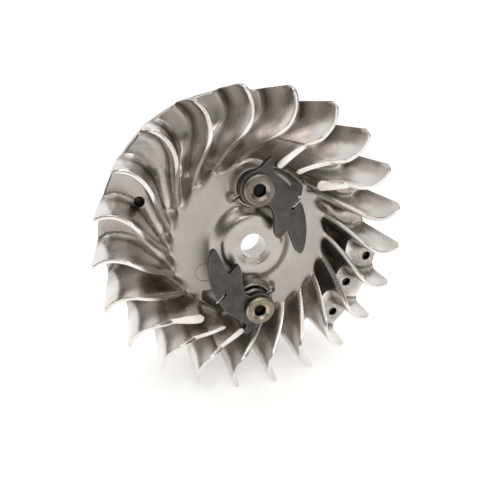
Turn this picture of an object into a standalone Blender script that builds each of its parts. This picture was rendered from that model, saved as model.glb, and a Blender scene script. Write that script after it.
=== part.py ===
"""Magneto flywheel with two starter pawls, for a hand-held saw engine.

The wheel stands upright. Its axis runs along Y, the front (fan and pawl side) faces -Y and +Z is up.
Plan sketches use millimetres as the front sees them: x to the right, y up and z out of the front face,
with z = 0 on the nut seat of the hub. The helper at() turns such a point into metres in the row frame.
"""
import math

import bmesh
import bpy
from mathutils import Matrix, Vector

for item in list(bpy.data.objects):
    bpy.data.objects.remove(item, do_unlink=True)

MM = 0.001
NAME = "saw_flywheel"

# wheel
BLADES = 22
FIRST_TIP_DEG = 97.0
PITCH_DEG = 360.0 / BLADES
TIP_R = 53.0
RIM_R = 52.5
BLADE_TOP_Z = 10.6
FACET_Z = 7.5
FLOOR_Z = -16.0
PLATEAU_Z = -3.0
PAD_TOP_Z = -2.4
WEIGHT_TOP_Z = -8.0
BALANCE_HOLE_R = 1.7
RIM_BACK_Z = -28.0
HUB_BACK_Z = -12.0
BORE_FRONT_R = 4.55
BORE_BACK_R = 5.35
KEY_DEG = 127.0
SEGMENTS = 66

# pawl pivots, half a turn apart
PIVOT_X = -0.3
PIVOT_Y = 21.6
COLLAR_SHIFT = (0.3, -0.5)
COLLAR_TOP_Z = 1.0
POCKET_R = 5.9
POCKET_Z = -3.6
NUB_R = 7.7
NUB_DEG = 210.0
BOSS_R = 4.1
BOSS_TOP_Z = 3.2
SCREW_HOLE_R = 2.8
SCREW_HOLE_Z = -11.5
PAWL_BOTTOM_Z = 3.5
PAWL_TOP_Z = 6.5
PAWL_BORE_R = 3.9
BUSH_OUTER_R = 3.8
BUSH_INNER_R = 2.75
SCREW_SHANK_R = 2.45
HEAD_R = 5.15
HEAD_BOTTOM_Z = 6.9
HEAD_TOP_Z = 8.8
HEX_ACROSS_FLATS = 4.0

# torsion spring under each pawl
WIRE_R = 0.4
COIL_R = 4.75
COIL_LOW_Z = 0.2
COIL_HIGH_Z = 3.0
COIL_START_DEG = 208.0
COIL_TURNS = 3.18

# magnet set in the rim
MAGNET_MID_DEG = -25.5
SHOE_OFFSET_DEG = 9.5
SHOE_HALF_DEG = 4.5
MAGNET_FRONT_Z = -7.0
MAGNET_BACK_Z = -24.0
SHOE_INNER_R = 43.5
MAGNET_OUTER_R = 48.6
FIT = 0.3

main = bpy.data.collections.new(NAME)
bpy.context.scene.collection.children.link(main)
tools = bpy.data.collections.new("cutters")
bpy.context.scene.collection.children.link(tools)


def at(x, y, z):
    return Vector((x * MM, -z * MM, y * MM))


# turns a plan sketch (x right, y up, z out of the front) into the row frame
SKETCH_TO_ROW = Matrix(((1, 0, 0, 0), (0, 0, -1, 0), (0, 1, 0, 0), (0, 0, 0, 1)))


def polar(radius, degrees):
    angle = math.radians(degrees)
    return radius * math.cos(angle), radius * math.sin(angle)


def material(name, colour, metallic, roughness):
    made = bpy.data.materials.new(name)
    made.use_nodes = True
    shader = made.node_tree.nodes["Principled BSDF"]
    shader.inputs["Base Color"].default_value = (*colour, 1.0)
    shader.inputs["Metallic"].default_value = metallic
    shader.inputs["Roughness"].default_value = roughness
    return made


def add_mesh(name, build, collection, matrix=None):
    """Finish a bmesh as an object; the optional matrix carries sketch metres into the row frame."""
    if matrix is not None:
        bmesh.ops.transform(build, matrix=matrix, verts=build.verts)
    bmesh.ops.remove_doubles(build, verts=build.verts, dist=0.0000005)
    bmesh.ops.recalc_face_normals(build, faces=build.faces)
    mesh = bpy.data.meshes.new(name)
    build.to_mesh(mesh)
    build.free()
    item = bpy.data.objects.new(name, mesh)
    collection.objects.link(item)
    if collection is tools:
        item.hide_render = True
        item.display_type = "WIRE"
    return item


def evaluated_bmesh(item):
    """Mesh of an object with its modifiers or curve settings applied; the object itself is removed."""
    bpy.context.view_layer.update()
    graph = bpy.context.evaluated_depsgraph_get()
    mesh = bpy.data.meshes.new_from_object(item.evaluated_get(graph))
    build = bmesh.new()
    build.from_mesh(mesh)
    bpy.data.meshes.remove(mesh)
    bpy.data.objects.remove(item, do_unlink=True)
    return build


def lathe(name, profile, segments, centre=(0.0, 0.0), collection=main, closed=True):
    """Turn a (radius, z) outline a full circle round an axis through centre."""
    mesh = bpy.data.meshes.new(name + "_profile")
    points = [(radius * MM, 0.0, z * MM) for radius, z in profile]
    edges = [(index, index + 1) for index in range(len(points) - 1)]
    if closed:
        edges.append((len(points) - 1, 0))
    mesh.from_pydata(points, edges, [])
    item = bpy.data.objects.new(name + "_profile", mesh)
    tools.objects.link(item)
    screw = item.modifiers.new("Screw", "SCREW")
    screw.axis = "Z"
    screw.angle = math.radians(360.0)
    screw.steps = segments
    screw.render_steps = segments
    screw.use_merge_vertices = True
    screw.merge_threshold = 0.000001
    build = evaluated_bmesh(item)
    place = SKETCH_TO_ROW @ Matrix.Translation((centre[0] * MM, centre[1] * MM, 0.0))
    return add_mesh(name, build, collection, place)


def plate(name, outline, thickness):
    """Flat outline in the XY plane, filled, centred on z = 0."""
    data = bpy.data.curves.new(name + "_outline", "CURVE")
    data.dimensions = "2D"
    data.fill_mode = "BOTH"
    data.extrude = thickness * MM / 2.0
    spline = data.splines.new("POLY")
    spline.points.add(len(outline) - 1)
    for target, (x, y) in zip(spline.points, outline):
        target.co = (x * MM, y * MM, 0.0, 1.0)
    spline.use_cyclic_u = True
    item = bpy.data.objects.new(name + "_outline", data)
    tools.objects.link(item)
    build = evaluated_bmesh(item)
    bmesh.ops.remove_doubles(build, verts=build.verts, dist=0.0000005)
    bmesh.ops.dissolve_limit(build, angle_limit=math.radians(0.3), verts=build.verts, edges=build.edges)
    return build


def prism(name, outline, low, high, collection=main):
    """Closed plan outline carried from z = low to z = high."""
    build = plate(name, outline, high - low)
    place = SKETCH_TO_ROW @ Matrix.Translation((0.0, 0.0, (low + high) * MM / 2.0))
    return add_mesh(name, build, collection, place)


def cone(name, centre, low_r, high_r, low, high, sides, turn=0.0, collection=tools):
    """Round post or hole from z = low to z = high; the radii may differ."""
    build = bmesh.new()
    bmesh.ops.create_cone(build, cap_ends=True, segments=sides, radius1=low_r * MM, radius2=high_r * MM,
                          depth=(high - low) * MM)
    place = Matrix.Translation((centre[0] * MM, centre[1] * MM, (low + high) * MM / 2.0))
    place = SKETCH_TO_ROW @ place @ Matrix.Rotation(math.radians(turn), 4, "Z")
    return add_mesh(name, build, collection, place)


def disc(name, centre, radius, low, high, sides, turn=0.0, collection=tools):
    return cone(name, centre, radius, radius, low, high, sides, turn, collection)


def combine(item, other, operation):
    modifier = item.modifiers.new(other.name, "BOOLEAN")
    modifier.operation = operation
    modifier.solver = "EXACT"
    modifier.object = other
    bpy.context.view_layer.update()
    graph = bpy.context.evaluated_depsgraph_get()
    result = bpy.data.meshes.new_from_object(item.evaluated_get(graph))
    item.modifiers.clear()
    old = item.data
    item.data = result
    bpy.data.meshes.remove(old)


def half_turn(points, half):
    if half == 0:
        return [(x, y) for x, y in points]
    return [(-x, -y) for x, y in points]


def smooth_step(value):
    """Rises in proportion to value when it is positive and fades to nothing when it is negative."""
    return math.log(1.0 + math.exp(value))


def blade_sweep(radius):
    """Degrees by which a blade leads its own tip at a radius; the plan is a shallow S."""
    inner = 4.4 * smooth_step((40.4 - radius) / 2.2)
    outer = 0.065 * max(0.0, radius - 46.0) ** 2
    return inner + outer - 3.2


def blade_crest(radius):
    """Height of the free edge: level outside, sloping down to the web inside."""
    return BLADE_TOP_Z - 1.35 * smooth_step(39.5 - radius)


def channel_floor(radius):
    """Height of the casting between two blades."""
    outline = [(29.4, PLATEAU_Z), (30.2, -3.6), (32.0, -7.6), (34.6, -11.8), (38.0, -14.6), (42.0, FLOOR_Z)]
    if radius <= outline[0][0]:
        return outline[0][1]
    for first, second in zip(outline, outline[1:]):
        if radius <= second[0]:
            share = (radius - first[0]) / (second[0] - first[0])
            return first[1] + share * (second[1] - first[1])
    return outline[-1][1]


def blade_sections(number):
    """Six-point cross sections of one blade, from the inner end to the tip."""
    kind = number % 11
    low_end = kind not in (3, 4, 5)
    pull = {3: 0.60, 4: 0.25, 5: 0.30}.get(kind, 0.0)
    inner_half = {3: 1.15, 4: 0.80, 5: 1.75}.get(kind, 0.75)
    if low_end:
        radii = [28.4, 31.0, 34.0, 37.0, 39.5, 42.5, 46.0, 49.5, 51.7, 52.7, TIP_R]
    else:
        radii = [28.7, 29.3, 30.6, 33.5, 36.9, 39.5, 42.5, 46.0, 49.5, 51.7, 52.7, TIP_R]
    tip = FIRST_TIP_DEG - PITCH_DEG * (number - 1)
    sections = []
    for radius in radii:
        sweep = blade_sweep(radius) - pull * max(0.0, 38.0 - radius)
        crest = blade_crest(radius)
        base = min(channel_floor(radius) - 0.7, crest - 1.2)
        share = min(1.0, max(0.0, (radius - 29.0) / 9.0))
        half = 0.75
        foot = 1.5 + 1.1 * share
        if not low_end:
            crest = max(FACET_Z, crest)
            base = min(base, -8.0)
            half = inner_half + (0.75 - inner_half) * share
            foot = half + 0.6 + 1.25 * share
            if radius == radii[0]:
                half = 0.45 * inner_half
                foot = half + 0.3
        if radius == 52.7:
            crest -= 0.6
        if radius == TIP_R:
            crest -= 1.7
        shoulder = base + min(3.0, 0.4 * (crest - base))
        middle = half + 0.45 * (foot - half)
        slope = -math.radians(blade_sweep(radius + 0.5) - blade_sweep(radius - 0.5)) * radius
        length = math.hypot(1.0, slope)
        x, y = polar(radius, tip + sweep)
        out_x, out_y = polar(1.0, tip + sweep)
        side_x = (-out_y + slope * out_x) / length
        side_y = (out_x + slope * out_y) / length
        if radius >= 51.0:
            side_x, side_y = -out_y, out_x
        section = []
        for offset, z in ((-foot, base), (-middle, shoulder), (-half, crest),
                          (half, crest), (middle, shoulder), (foot, base)):
            section.append(at(x + side_x * offset, y + side_y * offset, z))
        sections.append(section)
    return sections


def loft(name, section_sets, collection):
    """Skin one closed body over each list of equal cross sections."""
    vertices = []
    faces = []
    for sections in section_sets:
        start = len(vertices)
        count = len(sections[0])
        for section in sections:
            vertices += section
        for step in range(len(sections) - 1):
            here = start + step * count
            after = here + count
            for index in range(count):
                follow = (index + 1) % count
                faces.append((here + index, here + follow, after + follow, after + index))
        faces.append(tuple(range(start, start + count)))
        last = start + (len(sections) - 1) * count
        faces.append(tuple(range(last, last + count)))
    build = bmesh.new()
    made = [build.verts.new(point) for point in vertices]
    for face in faces:
        build.faces.new([made[index] for index in face])
    return add_mesh(name, build, collection)


def sector(inner, outer, first, last, steps):
    outline = [polar(outer, first + (last - first) * index / steps) for index in range(steps + 1)]
    outline += [polar(inner, last + (first - last) * index / steps) for index in range(steps + 1)]
    return outline


def floor_outline(first, last, inner):
    """Plan of a raised floor that fills the channels from one blade to a later one."""
    high = FIRST_TIP_DEG - PITCH_DEG * (first - 1)
    low = FIRST_TIP_DEG - PITCH_DEG * (last - 1)
    outline = []
    for index in range(19):
        outline.append(polar(52.3, low + (high - low) * index / 18))
    for index in range(7):
        radius = 51.8 - (51.8 - inner) * index / 6
        outline.append(polar(radius, high + blade_sweep(radius)))
    for index in range(1, 12):
        outline.append(polar(inner, high + (low - high) * index / 12 + blade_sweep(inner)))
    for index in range(7):
        radius = inner + (51.8 - inner) * index / 6
        outline.append(polar(radius, low + blade_sweep(radius)))
    return outline


def build_casting():
    profile = [
        (5.0, 0.0), (9.8, 0.0), (11.6, -0.4), (13.2, -1.6), (15.0, PLATEAU_Z),
        (29.4, PLATEAU_Z), (30.2, -3.6), (32.0, -7.6), (34.6, -11.8), (38.0, -14.6), (42.0, FLOOR_Z),
        (RIM_R - 0.4, FLOOR_Z), (RIM_R, FLOOR_Z - 0.4), (RIM_R, RIM_BACK_Z + 0.4),
        (RIM_R - 0.4, RIM_BACK_Z), (46.4, RIM_BACK_Z),
        (45.4, -21.0), (38.0, -20.0), (32.4, -16.6), (27.6, -9.4), (25.6, -8.4),
        (16.8, -8.4), (15.2, -9.4), (14.6, HUB_BACK_Z), (5.75, HUB_BACK_Z), (BORE_BACK_R, -11.6),
        (BORE_FRONT_R, -0.45),
    ]
    body = lathe("flywheel_casting", profile, SEGMENTS)
    for half in (0, 1):
        centre = half_turn([(PIVOT_X, PIVOT_Y)], half)[0]
        recess = [
            (5.0, 16.8), (12.6, 15.2), (20.4, 15.2), (21.4, 23.4), (16.4, 26.0), (9.6, 29.0),
            (4.0, 29.4), (1.0, 27.0),
        ]
        cut = prism("swing_recess", half_turn(recess, half), -6.6, 6.0, tools)
        combine(body, cut, "DIFFERENCE")
        shift = half_turn([COLLAR_SHIFT], half)[0]
        middle = (centre[0] + shift[0], centre[1] + shift[1])
        collar = [
            (0.0, -7.0), (8.4, -7.0), (8.4, -3.3), (7.7, -2.4), (7.1, -0.6), (6.8, 0.6), (6.4, COLLAR_TOP_Z),
            (0.0, COLLAR_TOP_Z),
        ]
        combine(body, lathe("collar", collar, 36, middle, tools, closed=False), "UNION")
        nub = half_turn([polar(NUB_R, NUB_DEG)], half)[0]
        nub = (centre[0] + nub[0], centre[1] + nub[1])
        profile = [(0.0, -6.6), (2.3, -6.6), (2.3, -3.2), (1.8, -1.4), (1.5, 0.4), (1.2, 0.8), (0.0, 0.8)]
        combine(body, lathe("nub", profile, 18, nub, tools, closed=False), "UNION")
        cut = disc("spring_pocket", middle, POCKET_R, POCKET_Z, 6.0, 28)
        combine(body, cut, "DIFFERENCE")
        notch = half_turn([polar(8.2, 204.6), polar(8.2, 215.4), polar(4.6, 220.0), polar(4.6, 200.0)], half)
        notch = [(centre[0] + x, centre[1] + y) for x, y in notch]
        cut = prism("leg_notch", notch, -0.5, 6.0, tools)
        combine(body, cut, "DIFFERENCE")
    rings = [blade_sections(number) for number in range(1, BLADES + 1)]
    blades = loft("blades", rings, tools)
    combine(body, blades, "UNION")
    for half in (0, 1):
        centre = half_turn([(PIVOT_X, PIVOT_Y)], half)[0]
        boss = disc("pivot_boss", centre, BOSS_R, -7.4, BOSS_TOP_Z, 24)
        combine(body, boss, "UNION")
        back = disc("pivot_back", centre, 6.2, -14.0, -7.8, 18)
        combine(body, back, "UNION")
    pad = prism("magnet_pad", floor_outline(7, 10, 38.0), -17.2, PAD_TOP_Z, tools)
    combine(body, pad, "UNION")
    weight = prism("counterweight_floor", floor_outline(18, 21, 32.4), -16.4, WEIGHT_TOP_Z, tools)
    combine(body, weight, "UNION")
    housing = prism("magnet_housing", sector(40.6, 47.6, -45.0, -6.0, 9), -26.6, -18.6, tools)
    combine(body, housing, "UNION")
    weight = prism("counterweight_back", sector(40.6, 47.5, 120.0, 186.0, 12), -26.4, -18.6, tools)
    combine(body, weight, "UNION")
    rib = [
        (13.6, -11.4), (20.0, -12.6), (34.0, -21.0), (46.6, -25.0),
        (46.6, -19.4), (36.0, -18.0), (28.0, -8.0), (13.6, -8.0),
    ]
    for index in range(8):
        spin = Matrix.Rotation(math.radians(22.0 + 45.0 * index), 4, "Z")
        place = SKETCH_TO_ROW @ spin @ SKETCH_TO_ROW
        web = add_mesh("back_rib", plate("back_rib", rib, 2.2), tools, place)
        combine(body, web, "UNION")
    turn = Matrix.Rotation(math.radians(KEY_DEG), 2)
    outline = [tuple(turn @ Vector(point)) for point in ((4.4, -1.1), (6.6, -1.1), (6.6, 1.1), (4.4, 1.1))]
    key = prism("taper_key", outline, -10.5, -3.5, tools)
    combine(body, key, "UNION")
    slot = magnet_outline(FIT)
    cut = prism("magnet_slot", slot, MAGNET_BACK_Z - FIT, MAGNET_FRONT_Z + FIT, tools)
    combine(body, cut, "DIFFERENCE")
    for half in (0, 1):
        centre = half_turn([(PIVOT_X, PIVOT_Y)], half)[0]
        cut = disc("screw_hole", centre, SCREW_HOLE_R, SCREW_HOLE_Z, 6.0, 16)
        combine(body, cut, "DIFFERENCE")
    for radius, degrees, low, high in ((48.4, -11.0, -5.4, 0.0), (44.4, -26.5, -5.4, 0.0),
                                       (47.8, -43.2, -5.4, 0.0), (41.1, 156.0, -13.0, -6.0)):
        cut = disc("balance_hole", polar(radius, degrees), BALANCE_HOLE_R, low, high, 14)
        combine(body, cut, "DIFFERENCE")
    return body


def magnet_outline(grow):
    """Plan of the slot that holds the magnet and both pole shoes; it opens through the rim at the shoes."""
    spread = math.degrees(grow / 50.0)
    first = MAGNET_MID_DEG - SHOE_OFFSET_DEG - SHOE_HALF_DEG - spread
    second = MAGNET_MID_DEG - SHOE_OFFSET_DEG + SHOE_HALF_DEG + spread
    third = MAGNET_MID_DEG + SHOE_OFFSET_DEG - SHOE_HALF_DEG - spread
    fourth = MAGNET_MID_DEG + SHOE_OFFSET_DEG + SHOE_HALF_DEG + spread
    outline = []
    for radius, start, end in ((54.0, first, second), (MAGNET_OUTER_R + grow, second, third),
                               (54.0, third, fourth), (SHOE_INNER_R - grow, fourth, first)):
        for index in range(4):
            outline.append(polar(radius, start + (end - start) * index / 3))
    return outline


def build_magnet_set():
    made = []
    low = MAGNET_MID_DEG - SHOE_OFFSET_DEG
    high = MAGNET_MID_DEG + SHOE_OFFSET_DEG
    for name, middle in (("pole_shoe_leading", low), ("pole_shoe_trailing", high)):
        outline = sector(SHOE_INNER_R, 52.4, middle - SHOE_HALF_DEG, middle + SHOE_HALF_DEG, 4)
        made.append(prism(name, outline, MAGNET_BACK_Z, MAGNET_FRONT_Z))
    gap = math.degrees(FIT / 46.0)
    outline = sector(SHOE_INNER_R, MAGNET_OUTER_R, low + SHOE_HALF_DEG + gap, high - SHOE_HALF_DEG - gap, 4)
    magnet = prism("ignition_magnet", outline, MAGNET_BACK_Z, MAGNET_FRONT_Z)
    return magnet, made


PAWL_OUTLINE = [
    (4.6, 10.0), (5.3, 9.8), (5.5, 8.8), (4.6, 6.2), (5.6, 5.0), (8.0, 3.1), (10.7, 0.7), (12.9, -1.5),
    (14.0, -3.4), (14.2, -4.3), (11.6, -6.8), (11.55, -7.35), (11.9, -7.65), (12.36, -7.59), (14.96, -5.09),
    (15.6, -6.1), (16.1, -7.4),
    (16.9, -10.2), (17.5, -13.8), (17.6, -17.2), (17.3, -20.2), (16.7, -22.6), (15.9, -23.5), (14.9, -23.3),
    (14.0, -22.0), (12.9, -19.5), (11.9, -16.8), (11.0, -14.6), (10.4, -14.6), (8.4, -16.8), (7.4, -17.4),
    (6.7, -16.7), (6.2, -15.0), (6.0, -12.0), (5.9, -9.6), (5.2, -7.4), (3.9, -5.6),
]


def pawl_outline():
    """Pawl seen from the front, round its own pivot: arm, hook tooth, spring slot and stop tail."""
    outline = list(PAWL_OUTLINE)
    for index in range(11):
        outline.append(polar(5.9, -62.0 - (246.0 - 62.0) * index / 10))
    outline.append((-1.2, 6.0))
    outline.append((1.2, 7.2))
    return outline


def build_pawl(name, half):
    centre = half_turn([(PIVOT_X, PIVOT_Y)], half)[0]
    turned = half_turn(pawl_outline(), half)
    outline = [(centre[0] + x, centre[1] + y) for x, y in turned]
    pawl = prism(name, outline, PAWL_BOTTOM_Z, PAWL_TOP_Z)
    cut = disc(name + "_bore", centre, PAWL_BORE_R, 0.0, 10.0, 24)
    combine(pawl, cut, "DIFFERENCE")
    return pawl


def build_bush(name, half):
    centre = half_turn([(PIVOT_X, PIVOT_Y)], half)[0]
    profile = [
        (BUSH_INNER_R, BOSS_TOP_Z + 0.05), (BUSH_OUTER_R, BOSS_TOP_Z + 0.05),
        (BUSH_OUTER_R, PAWL_TOP_Z + 0.3), (BUSH_INNER_R, PAWL_TOP_Z + 0.3),
    ]
    return lathe(name, profile, 24, centre)


def build_screw(name, half):
    centre = half_turn([(PIVOT_X, PIVOT_Y)], half)[0]
    outline = [
        (0.0, HEAD_TOP_Z), (HEAD_R - 0.4, HEAD_TOP_Z), (HEAD_R, HEAD_TOP_Z - 0.4), (HEAD_R, HEAD_BOTTOM_Z),
        (SCREW_SHANK_R, HEAD_BOTTOM_Z), (SCREW_SHANK_R, -10.0), (1.9, -10.8), (0.0, -10.8),
    ]
    screw = lathe(name, outline, 28, centre, closed=False)
    socket_r = HEX_ACROSS_FLATS / math.sqrt(3.0)
    chamfer = cone(name + "_chamfer", centre, 1.0, 2.65, HEAD_TOP_Z - 1.0, HEAD_TOP_Z + 0.1, 24)
    combine(screw, chamfer, "DIFFERENCE")
    socket = disc(name + "_socket", centre, socket_r, HEAD_TOP_Z - 3.0, HEAD_TOP_Z + 1.0, 6, 30.0)
    combine(screw, socket, "DIFFERENCE")
    return screw


def spring_path():
    """Centre line of the torsion spring round its own axis: low leg, coil, high leg, hook in the slot."""
    points = []
    start = polar(COIL_R, COIL_START_DEG)
    out = polar(1.0, COIL_START_DEG)
    points.append((start[0] + out[0] * 2.8, start[1] + out[1] * 2.8, COIL_LOW_Z))
    points.append((start[0] + out[0] * 0.9, start[1] + out[1] * 0.9, COIL_LOW_Z))
    steps = int(COIL_TURNS * 18)
    for index in range(steps + 1):
        share = index / steps
        angle = COIL_START_DEG + 6.0 + (COIL_TURNS * 360.0 - 6.0) * share
        x, y = polar(COIL_R, angle)
        points.append((x, y, COIL_LOW_Z + (COIL_HIGH_Z - COIL_LOW_Z) * share))
    points += [
        (5.0, -5.5, COIL_HIGH_Z), (10.9, -7.0, COIL_HIGH_Z), (11.7, -7.05, COIL_HIGH_Z + 0.05),
        (12.1, -7.0, COIL_HIGH_Z + 0.5), (12.2, -6.95, COIL_HIGH_Z + 1.5), (12.4, -6.75, COIL_HIGH_Z + 2.4),
        (12.9, -6.3, COIL_HIGH_Z + 2.8), (14.6, -4.7, COIL_HIGH_Z + 2.9), (15.3, -4.05, COIL_HIGH_Z + 2.9),
    ]
    return points


def build_spring(name, half):
    centre = half_turn([(PIVOT_X, PIVOT_Y)], half)[0]
    sign = 1.0 if half == 0 else -1.0
    data = bpy.data.curves.new(name, "CURVE")
    data.dimensions = "3D"
    data.bevel_depth = WIRE_R * MM
    data.bevel_resolution = 2
    data.use_fill_caps = True
    path = spring_path()
    spline = data.splines.new("POLY")
    spline.points.add(len(path) - 1)
    for target, (x, y, z) in zip(spline.points, path):
        place = at(centre[0] + sign * x, centre[1] + sign * y, z)
        target.co = (*place, 1.0)
    curve = bpy.data.objects.new(name + "_line", data)
    tools.objects.link(curve)
    return add_mesh(name, evaluated_bmesh(curve), main)


def set_origin(item, x, y, z):
    """Put the object's origin on its own axis without moving the shape."""
    place = at(x, y, z)
    item.data.transform(Matrix.Translation(-place))
    item.location = place


cast = material("cast_aluminium", (0.62, 0.58, 0.53), 0.9, 0.42)
dark_steel = material("dark_pressed_steel", (0.10, 0.095, 0.09), 0.8, 0.5)
zinc_steel = material("zinc_plated_steel", (0.42, 0.39, 0.33), 1.0, 0.35)
spring_steel = material("spring_steel", (0.32, 0.31, 0.30), 1.0, 0.35)
bush_steel = material("hardened_bush_steel", (0.36, 0.36, 0.37), 1.0, 0.3)
magnet_grey = material("sintered_magnet", (0.08, 0.08, 0.085), 0.3, 0.6)
pole_steel = material("laminated_pole_steel", (0.22, 0.21, 0.20), 0.9, 0.45)

casting = build_casting()
casting.data.materials.clear()
casting.data.materials.append(cast)
magnet, shoes = build_magnet_set()
magnet.data.materials.append(magnet_grey)
for shoe in shoes:
    shoe.data.materials.append(pole_steel)
for half, side in ((0, "upper"), (1, "lower")):
    pivot = half_turn([(PIVOT_X, PIVOT_Y)], half)[0]
    pawl = build_pawl("starter_pawl_" + side, half)
    pawl.data.materials.clear()
    pawl.data.materials.append(dark_steel)
    set_origin(pawl, pivot[0], pivot[1], PAWL_BOTTOM_Z)
    bush = build_bush("pawl_bush_" + side, half)
    bush.data.materials.append(bush_steel)
    screw = build_screw("pawl_screw_" + side, half)
    screw.data.materials.clear()
    screw.data.materials.append(zinc_steel)
    spring = build_spring("pawl_spring_" + side, half)
    spring.data.materials.clear()
    spring.data.materials.append(spring_steel)

for item in main.objects:
    item.data.shade_smooth()
    item.data.set_sharp_from_angle(angle=math.radians(32.0))
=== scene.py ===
import math

import bmesh
import bpy
import numpy as np
from mathutils import Matrix, Vector


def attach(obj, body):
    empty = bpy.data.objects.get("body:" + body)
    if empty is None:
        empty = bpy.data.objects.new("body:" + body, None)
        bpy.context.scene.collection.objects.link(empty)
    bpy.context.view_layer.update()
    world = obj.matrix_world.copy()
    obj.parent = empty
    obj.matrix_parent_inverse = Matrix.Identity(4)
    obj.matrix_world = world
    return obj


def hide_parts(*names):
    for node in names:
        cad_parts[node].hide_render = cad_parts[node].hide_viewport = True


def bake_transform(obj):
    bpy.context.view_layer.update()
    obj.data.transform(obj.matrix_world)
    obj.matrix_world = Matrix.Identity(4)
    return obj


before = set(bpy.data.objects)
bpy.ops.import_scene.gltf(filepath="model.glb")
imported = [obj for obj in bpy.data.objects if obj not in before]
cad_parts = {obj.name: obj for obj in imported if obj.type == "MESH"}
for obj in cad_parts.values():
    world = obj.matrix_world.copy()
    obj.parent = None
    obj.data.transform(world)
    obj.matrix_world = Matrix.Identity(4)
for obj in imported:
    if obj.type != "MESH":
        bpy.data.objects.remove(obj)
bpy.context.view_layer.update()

# Sketch numbers are millimetres as the front sees them: x right, y up, z out of the front face.
MM = 0.001
BLADES = 22
PITCH = 360.0 / BLADES
FIRST_TIP = 97.0
BLADE_TOP = 10.6
FACET_TOP = 7.5
PLATEAU = -3.0
PAD_TOP = -2.4
WEIGHT_TOP = -8.0
RIM_R = 52.5
TIP_R = 53.0
TRIM_R = 51.5
ROOT_R = 27.0
BORE_R = 4.62
PIVOT = (-0.3, 21.6)
COLLAR_SHIFT = (0.3, -0.5)
NUB_SPOT = (7.7, 210.0)
RIB_COUNT = 8
RIB_START = 22.0
KEY_DEGREES = 127.0
PAD_HOLES = ((48.4, -11.0), (44.4, -26.5), (47.8, -43.2))
WEIGHT_HOLE = (41.1, 156.0)
RING_MARK = (-17.4, -9.4)
RING_MARK_R = 3.4
SCOOP_LOW = -6.6
SOCKET_FLATS = 4.0
PAWL_EYE_R = 5.9
COIL_R = 4.75
COIL_START = 208.0
COIL_TURNS = 3.18
PAD_CHANNELS = (13, 14, 15)
WEIGHT_CHANNELS = (2, 3, 4)
FLAT_KINDS = {3: (0.60, 1.15), 4: (0.25, 0.80), 5: (0.30, 1.75)}
SKETCH_TO_ROW = Matrix(((1, 0, 0, 0), (0, 0, -1, 0), (0, 1, 0, 0), (0, 0, 0, 1)))
CAMERA_LENS = 27.29
CAMERA_PLACE = (-0.03435, -0.12212, 0.04578)
FLOOR_Z = -0.0531


# ---------------------------------------------------------------- helpers


def step(low, high, value):
    """Smooth 0 to 1 ramp."""
    share = np.clip((np.asarray(value, float) - low) / (high - low), 0.0, 1.0)
    return share * share * (3.0 - 2.0 * share)


def soft_positive(value, width=0.35):
    return 0.5 * (value + np.sqrt(value * value + width * width))


def soft_table(points, sigma):
    """A polyline z(r), rounded at its corners, as a lookup function."""
    radii = np.arange(0.0, 62.0, 0.05)
    heights = np.interp(radii, [p[0] for p in points], [p[1] for p in points])
    reach = np.arange(-60, 61) * 0.05
    weight = np.exp(-0.5 * (reach / sigma) ** 2)
    weight /= weight.sum()
    padded = np.pad(heights, 60, mode="edge")
    smooth = np.convolve(padded, weight, mode="valid")
    return lambda r: np.interp(r, radii, smooth)


def to_row(points):
    points = np.asarray(points, float)
    return np.stack((points[:, 0], -points[:, 2], points[:, 1]), axis=1) * MM


def new_object(name, mesh):
    item = bpy.data.objects.new(name, mesh)
    bpy.context.scene.collection.objects.link(item)
    return item


def evaluated_mesh(item):
    bpy.context.view_layer.update()
    graph = bpy.context.evaluated_depsgraph_get()
    return bpy.data.meshes.new_from_object(item.evaluated_get(graph))


def bake_modifiers(item):
    mesh = evaluated_mesh(item)
    item.modifiers.clear()
    old = item.data
    item.data = mesh
    bpy.data.meshes.remove(old)
    return item


def grid_object(name, rows, wrap=True):
    """Closed or open quad skin over an array of rows x columns x 3, in sketch millimetres."""
    count, columns = rows.shape[0], rows.shape[1]
    index = np.arange(count * columns).reshape(count, columns)
    nxt = np.roll(index, -1, axis=1)
    if wrap:
        below = np.roll(index, -1, axis=0)
        below_nxt = np.roll(nxt, -1, axis=0)
        quads = np.stack((index, nxt, below_nxt, below), axis=2)
    else:
        quads = np.stack((index[:-1], nxt[:-1], nxt[1:], index[1:]), axis=2)
    mesh = bpy.data.meshes.new(name)
    mesh.from_pydata(to_row(rows.reshape(-1, 3)).tolist(), [], quads.reshape(-1, 4).tolist())
    mesh.update()
    return new_object(name, mesh)


def outward(item):
    build = bmesh.new()
    build.from_mesh(item.data)
    bmesh.ops.recalc_face_normals(build, faces=build.faces)
    if build.calc_volume(signed=True) < 0.0:
        bmesh.ops.reverse_faces(build, faces=build.faces)
    build.to_mesh(item.data)
    build.free()
    return item


def half_turn(point, half):
    return (point[0], point[1]) if half == 0 else (-point[0], -point[1])


def lathe(name, profile, segments, centre=(0.0, 0.0)):
    """Closed turned body; a profile point at r = 0 becomes a pole."""
    build = bmesh.new()
    rings = []
    for radius, z in profile:
        if radius < 1e-6:
            rings.append([build.verts.new((centre[0] * MM, -z * MM, centre[1] * MM))])
            continue
        ring = []
        for index in range(segments):
            angle = 2.0 * math.pi * index / segments
            x = centre[0] + radius * math.cos(angle)
            y = centre[1] + radius * math.sin(angle)
            ring.append(build.verts.new((x * MM, -z * MM, y * MM)))
        rings.append(ring)
    closed = len(rings[0]) > 1
    pairs = list(zip(rings, rings[1:] + rings[:1])) if closed else list(zip(rings, rings[1:]))
    for first, second in pairs:
        for index in range(segments):
            follow = (index + 1) % segments
            if len(first) == 1:
                build.faces.new((first[0], second[index], second[follow]))
            elif len(second) == 1:
                build.faces.new((first[index], second[0], first[follow]))
            else:
                build.faces.new((first[index], second[index], second[follow], first[follow]))
    mesh = bpy.data.meshes.new(name)
    build.to_mesh(mesh)
    build.free()
    return outward(new_object(name, mesh))


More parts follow.
